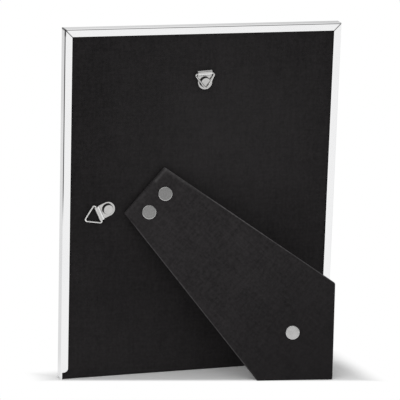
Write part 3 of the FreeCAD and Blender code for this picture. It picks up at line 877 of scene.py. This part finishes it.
def wrapped_board(outer, normal, thickness, radius):
    """A board wrapped in covering: rings from its outer face round the edge to the inner."""
    into = inward(outer, normal)
    turns = [math.radians(90 * step / ARC_STEPS) for step in range(ARC_STEPS + 1)]
    arc = [(radius - radius * math.cos(turn), radius - radius * math.sin(turn))
           for turn in turns]
    flat = radius * OVERLAP_SHARE
    rings = [(flat, thickness)]
    rings += [(inset, thickness - height) for inset, height in reversed(arc)]
    rings += [(0, thickness / 2)] + arc + [(flat, 0)]
    made = bmesh.new()
    rows = [[made.verts.new(point + side * inset + normal * (height - thickness))
             for point, side in zip(outer, into)] for inset, height in rings]
    join_rows(made, rows)
    made.faces.new(reversed(rows[0]))
    made.faces.new(rows[-1])
    bmesh.ops.recalc_face_normals(made, faces=made.faces)
    bmesh.ops.triangulate(made, faces=[face for face in made.faces if len(face.verts) > 4])
    return made


# The ribbon: its steps along and the passes that round its bends, its columns as shares of
# half the width, where the selvedge starts, and how thin it is at its edge and in a groove
RIBBON_STEP = 0.0003
SMOOTHING_PASSES = 6
COLUMN_SHARES = (-1, -0.96, -0.9, -0.82, -0.4, 0, 0.4, 0.82, 0.9, 0.96, 1)
SELVEDGE_SHARE = 0.82
EDGE_SHARE = 0.35
GROOVE_SHARE = 0.72


def rounded(route):
    """Points close together along a route, with its bends rounded."""
    points = []
    for start, end in zip(route, route[1:]):
        parts = max(2, round((end - start).length / RIBBON_STEP))
        points += [start.lerp(end, part / parts) for part in range(parts)]
    points.append(route[-1])
    for _ in range(SMOOTHING_PASSES):
        inner = [(a + b * 2 + c) / 4 for a, b, c in zip(points, points[1:], points[2:])]
        points = [points[0]] + inner + [points[-1]]
    return points


def ribbon_shape(points, own):
    """A ribbed strip through the points, with a smooth selvedge on each side."""
    made = bmesh.new()
    rows = []
    run = 0.0
    length = length_of(points)
    for index, point in enumerate(points):
        before = points[max(index - 1, 0)]
        after = points[min(index + 1, len(points) - 1)]
        run += (point - before).length
        out = (after - before).normalized().cross(HINGE).normalized()
        rib = 0.5 - 0.5 * math.cos(math.tau * own.ribs * run / length)
        row = []
        for face in (1, -1):
            for share in COLUMN_SHARES[::face]:
                past = max(0.0, (abs(share) - SELVEDGE_SHARE) / (1 - SELVEDGE_SHARE))
                body = 1 - min(1.0, past) ** 2
                depth = own.thickness / 2 * (EDGE_SHARE + (1 - EDGE_SHARE) * body)
                depth *= GROOVE_SHARE + (1 - GROOVE_SHARE) * rib * body
                side = HINGE * (share * own.width / 2)
                row.append(made.verts.new(point + side + out * (depth * face)))
        rows.append(row)
    join_rows(made, rows)
    made.faces.new(rows[0])
    made.faces.new(reversed(rows[-1]))
    bmesh.ops.recalc_face_normals(made, faces=made.faces)
    return made


# Stage

# The floor: the direction in which its shadow is cut short and where it fades that way, the
# floor's shift and depth as shares of its reach, and how much dimmer the metal shows it in
# front of the frame than behind
CUT_DIRECTION = Vector((0.2896, 0.9571, 0))
SHADOW_CUT = (0.005, 0.013)
FLOOR_SHIFT_SHARE = -0.4
FLOOR_DEPTH_SHARE = 1.6
FLOOR_FRONT_DROP = 0.25
FLOOR_BACK_RISE = 0.19
FLOOR_BACK = (-0.12, 0.02)


def lay_floor(own):
    """A pale floor that keeps the shadow near the frame and is plain white further off."""
    finish = finish_named("studio_floor")
    place = finish.place()
    side = finish.along(ACROSS, place)
    depth = finish.along(Vector((0, 1, 0)), place)
    beyond = finish.sum("MAXIMUM", abs(side) - cad_box[1].x, abs(depth) - cad_box[1].y)
    past_cut = finish.along(CUT_DIRECTION, place).between(*SHADOW_CUT)
    away = finish.sum("MAXIMUM", beyond.between(0, own.shadow_reach), past_cut)
    glossy = finish.ray("Glossy")
    seen = (finish.ray("Camera") + glossy + finish.ray("Transmission")).limited()
    cloth = finish.node("ShaderNodeBsdfDiffuse", None, {"Color": colour(own.floor_colour)})
    level = 1 - glossy * (FLOOR_FRONT_DROP - depth.between(*FLOOR_BACK) * FLOOR_BACK_RISE)
    white = finish.node("ShaderNodeEmission", None, {"Color": colour(WHITE), "Strength": level})
    shader = finish.node("ShaderNodeMixShader", None, {0: away * seen, 1: cloth, 2: white})
    floor = bmesh.new()
    bmesh.ops.create_grid(floor, x_segments=8, y_segments=8, size=1)
    wide = own.floor_reach
    spot = Matrix.Translation((wide * FLOOR_SHIFT_SHARE, 0, cad_box[0].z))
    spread = Matrix.Diagonal((wide, wide * FLOOR_DEPTH_SHARE, 1, 1))
    bmesh.ops.transform(floor, matrix=spot @ spread, verts=floor.verts)
    piece("studio_floor", floor, finish.surface(shader), None)


# The studio as polished metal reflects it. Each zone has a level, and each pair says between
# which heights, or how far to the left or the back, a direction passes into or out of it.
BEHIND_LEVEL = 0.92
HORIZON, HORIZON_DROP = (-0.14, 0.08), 0.74
ZENITH, ZENITH_RISE = (0.7, 0.97), 0.75
FRONT_LEVEL = 0.70
CEILING, CEILING_RISE = (0.45, 0.8), 0.28
FRONT_RIGHT, FRONT_RIGHT_DROP = (-0.42, -0.27), 0.16
FRONT_TO_BEHIND = (-0.25, 0.25)
LEFT_LEVEL = 0.28
LEFT_TOP, LEFT_RISE = (0.15, 0.5), 0.69
LEFT_EDGE, LEFT_END = (0.38, 0.52), (-0.4, -0.1)
LEFT_TURN, LEFT_WIDENING = (0, 0.4), 0.25
SOFTBOX_LEVEL = 1.1
SOFTBOX_EDGE, SOFTBOX_TOP, SOFTBOX_END = (-0.72, -0.52), (0.25, 0.55), (-0.5, -0.2)

LAMP_SIZE = (1.6, 1.2)
LAMP_PLACE = (0.9, 0.9, 1.5)
LAMP_AIM = (0, 0, 0.1)


def light_studio(own):
    """Soft light from all sides, with dim and bright zones that only polished metal shows."""
    world = bpy.data.worlds.new("studio_light")
    bpy.context.scene.world = world
    sky = Finish(world)
    toward = sky.node("ShaderNodeTexCoord", output="Generated")
    height = sky.along(Vector((0, 0, 1)), toward)
    side = sky.along(ACROSS, toward)
    back = sky.along(Vector((0, 1, 0)), toward)
    behind = BEHIND_LEVEL - height.between(*HORIZON) * HORIZON_DROP
    behind = behind + height.between(*ZENITH) * ZENITH_RISE
    front = FRONT_LEVEL + height.between(*CEILING) * CEILING_RISE
    front = front - side.falling(*FRONT_RIGHT) * FRONT_RIGHT_DROP
    seen = front.blended(behind, back.between(*FRONT_TO_BEHIND))
    left = LEFT_LEVEL + height.between(*LEFT_TOP) * LEFT_RISE
    leftward = side + back.between(*LEFT_TURN) * LEFT_WIDENING
    seen = seen.blended(left, leftward.between(*LEFT_EDGE) * back.between(*LEFT_END))
    softbox = side.falling(*SOFTBOX_EDGE) * abs(height).falling(*SOFTBOX_TOP)
    seen = seen.blended(SOFTBOX_LEVEL, softbox * back.between(*SOFTBOX_END))
    level = own.sky_level + (seen - own.sky_level) * sky.ray("Glossy")
    level = level.blended(1, (sky.ray("Camera") + sky.ray("Transmission")).limited())
    values = {"Color": colour(WHITE), "Strength": level}
    sky.node_output("ShaderNodeOutputWorld", sky.node("ShaderNodeBackground", None, values))
    lamp = bpy.data.lights.new("soft_lamp", "AREA")
    lamp.shape = "RECTANGLE"
    lamp.size, lamp.size_y = LAMP_SIZE
    lamp.energy = own.lamp_power
    hung = aimed("soft_lamp", lamp, LAMP_PLACE, LAMP_AIM)
    hung.visible_camera = False
    hung.visible_glossy = False


def aimed(name, data, place, aim):
    """A lamp or a camera at its place, turned towards its aim."""
    made = bpy.data.objects.new(name, data)
    bpy.context.scene.collection.objects.link(made)
    made.location = place
    direction = Vector(aim) - made.location
    made.rotation_euler = direction.to_track_quat("-Z", "Y").to_euler()
    return made


SENSOR_WIDTH = 36
CAMERA_PLACE = (0.44972, 1.45255, 0.37860)
CAMERA_AIM = (0.00285, -0.02363, 0.12192)
CAMERA_SHIFT = (0.01955, 0.02009)
CAMERA_CLIP = (0.05, 20)


def aim_camera(own):
    """The camera stands behind the frame, to its left and a little above it."""
    lens = bpy.data.cameras.new("photo_camera")
    lens.sensor_width = SENSOR_WIDTH
    lens.lens = own.lens
    lens.shift_x, lens.shift_y = CAMERA_SHIFT
    lens.clip_start, lens.clip_end = CAMERA_CLIP
    bpy.context.scene.camera = aimed("photo_camera", lens, CAMERA_PLACE, CAMERA_AIM)
    bpy.context.scene.view_settings.view_transform = "Standard"


# Operators

class PHOTOFRAME_OT_rails(bpy.types.Operator):
    """Polish the four rails and finish the keys inside their corners"""
    bl_idname = "photoframe.rails"
    bl_label = "Rails"

    def execute(self, context):
        coat(polished_rail(), "rail_top", "rail_bottom", *SIDE_RAILS)
        keys = [name for name in frame["nodes"] if name.startswith("corner_key")]
        steel = plated("stamped_key", sizes().metal.steel_colour,
                       roughness=0.4, scratch_scale=700.0)
        coat(steel, *keys)
        return {"FINISHED"}


class PHOTOFRAME_OT_glazing(bpy.types.Operator):
    """Finish the glass and the plain card behind it"""
    bl_idname = "photoframe.glazing"
    bl_label = "Glass and card"

    def execute(self, context):
        coat(clear_glass(), "glass_pane")
        card = paper("plain_card", sizes().glazing.card_colour, fibre=900.0)
        coat(card, "picture_insert")
        return {"FINISHED"}


GREY_BOARD_COLOUR = (0.30, 0.29, 0.27)
LINING_PAPER_COLOUR = (0.06, 0.06, 0.062)


class PHOTOFRAME_OT_back_board(bpy.types.Operator):
    """Finish the back board's core, covering and lining"""
    bl_idname = "photoframe.back_board"
    bl_label = "Back board"

    def execute(self, context):
        coat(board_covering(), "back_board_cover")
        coat(paper("grey_board", GREY_BOARD_COLOUR, fibre=700.0), "back_board_core")
        coat(paper("lining_paper", LINING_PAPER_COLOUR, fibre=1200.0), "back_board_lining")
        return {"FINISHED"}


OUTLINE_STEP = 0.004
LONG_EDGE = 0.02


class PHOTOFRAME_OT_leg(bpy.types.Operator):
    """Wrap the leg's board in its covering"""
    bl_idname = "photoframe.leg"
    bl_label = "Leg"

    def execute(self, context):
        own = sizes().board
        outline = face_outline("leg_cover_outer", LEG_OUT)
        low = reach(LEG_OUT, "leg_cover_inner")[0]
        high = reach(LEG_OUT, "leg_cover_outer")[1]
        rise = LEG_OUT * own.cover_rise
        outer = [point + rise for point in resampled(outline, OUTLINE_STEP)]
        thickness = high - low + own.cover_rise * 2
        shape = wrapped_board(outer, LEG_OUT, thickness, own.edge_radius)
        finish = leg_covering(straight_edges(outline, LEG_OUT, LONG_EDGE), low, high)
        leg = piece("leg_covering", shape, finish, "easel_leg")
        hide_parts("leg_cover_outer", "leg_board_core", "leg_cover_inner")
        return {"FINISHED"}


class PHOTOFRAME_OT_hinge(bpy.types.Operator):
    """Finish the hinge and the rivets of the leg and the board"""
    bl_idname = "photoframe.hinge"
    bl_label = "Hinge and rivets"

    def execute(self, context):
        own = sizes().metal
        steel = plated("hinge_steel", own.steel_colour, roughness=0.38, scratch_scale=800.0)
        coat(steel, "board_hinge_leaf", "leg_hinge_leaf", "hinge_pin", "board_hinge_rivets",
             "stay_rivet_board")
        plate = plated("leg_rivet_plate", own.rivet_colour,
                       roughness=0.15, scratch_scale=500.0, relief=0.08)
        coat(plate, "leg_hinge_rivets", "stay_rivet_leg")
        return {"FINISHED"}


class PHOTOFRAME_OT_hangers(bpy.types.Operator):
    """Finish the straps, rings and rivets of both hangers"""
    bl_idname = "photoframe.hangers"
    bl_label = "Hangers"

    def execute(self, context):
        own = sizes().metal
        for place in ("top", "side"):
            nickel = plated(place + "_hanger_nickel", own.hanger_colour, roughness=0.15,
                            scratch_scale=600.0, relief=0.12, wear_and_painted_light=hanger_painted_light(place))
            coat(nickel, place + "_hanger_strap", place + "_hanger_rivet")
        wire = plated("hanger_wire", own.ring_colour,
                      roughness=0.12, scratch_scale=600.0, relief=0.08)
        coat(wire, "top_hanger_ring", "side_hanger_ring")
        return {"FINISHED"}


RIBBON_GAP = 0.00005


class PHOTOFRAME_OT_ribbon(bpy.types.Operator):
    """Weave the stay ribbon between the leg and the back board"""
    bl_idname = "photoframe.ribbon"
    bl_label = "Stay ribbon"

    def execute(self, context):
        own = sizes().ribbon
        centres = []
        for name in ("stay_rivet_leg", "stay_rivet_board"):
            low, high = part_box(name)
            centres.append((low + high) / 2)
        leg_face = reach(LEG_OUT, "leg_cover_inner")[0]
        board_face = reach(BACKWARD, "back_board_cover")[1]
        gap = own.thickness / 2 + RIBBON_GAP
        on_leg = centres[0] + LEG_OUT * (leg_face - gap - centres[0].dot(LEG_OUT))
        on_board = centres[1] + BACKWARD * (board_face + gap - centres[1].dot(BACKWARD))
        route = [on_leg + LEG_RUN * own.tab, on_leg - LEG_RUN * own.tab,
                 on_board - CLOSED_RUN * own.tab, on_board + CLOSED_RUN * own.tab]
        shape = ribbon_shape(rounded(route), own)
        made = piece("stay_ribbon_weave", shape, ribbon_finish(), "easel_back")
        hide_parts("stay_ribbon")
        anchor = on_board - BACKWARD * gap
        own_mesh(made)
        length_of(route)
        return {"FINISHED"}


class PHOTOFRAME_OT_stage(bpy.types.Operator):
    """Set the floor, the studio's light and the camera"""
    bl_idname = "photoframe.stage"
    bl_label = "Stage"

    def execute(self, context):
        own = sizes().stage
        lay_floor(own)
        light_studio(own)
        aim_camera(own)
        return {"FINISHED"}


OPERATORS = (
    PHOTOFRAME_OT_stage,
    PHOTOFRAME_OT_rails,
    PHOTOFRAME_OT_glazing,
    PHOTOFRAME_OT_back_board,
    PHOTOFRAME_OT_leg,
    PHOTOFRAME_OT_hinge,
    PHOTOFRAME_OT_hangers,
    PHOTOFRAME_OT_ribbon,
)


class PHOTOFRAME_PT_sidebar(bpy.types.Panel):
    """The steps that finish the photo frame"""
    bl_idname = "PHOTOFRAME_PT_sidebar"
    bl_label = "Photo Frame"
    bl_space_type = "VIEW_3D"
    bl_region_type = "UI"
    bl_category = "Photo Frame"

    def draw(self, context):
        for operator in OPERATORS:
            self.layout.operator(operator.bl_idname)


GROUPS = (MetalSizes, BoardSizes, RibbonSizes, GlazingSizes, StageSizes, PhotoFrameSizes)


def register():
    for made in GROUPS + OPERATORS + (PHOTOFRAME_PT_sidebar,):
        bpy.utils.register_class(made)
    bpy.types.Scene.photo_frame = PointerProperty(type=PhotoFrameSizes)


def unregister():
    del bpy.types.Scene.photo_frame
    for made in reversed(GROUPS + OPERATORS + (PHOTOFRAME_PT_sidebar,)):
        bpy.utils.unregister_class(made)


def main():
    register()
    for operator in OPERATORS:
        group, name = operator.bl_idname.split(".")
        getattr(getattr(bpy.ops, group), name)()


if __name__ == "__main__":
    main()
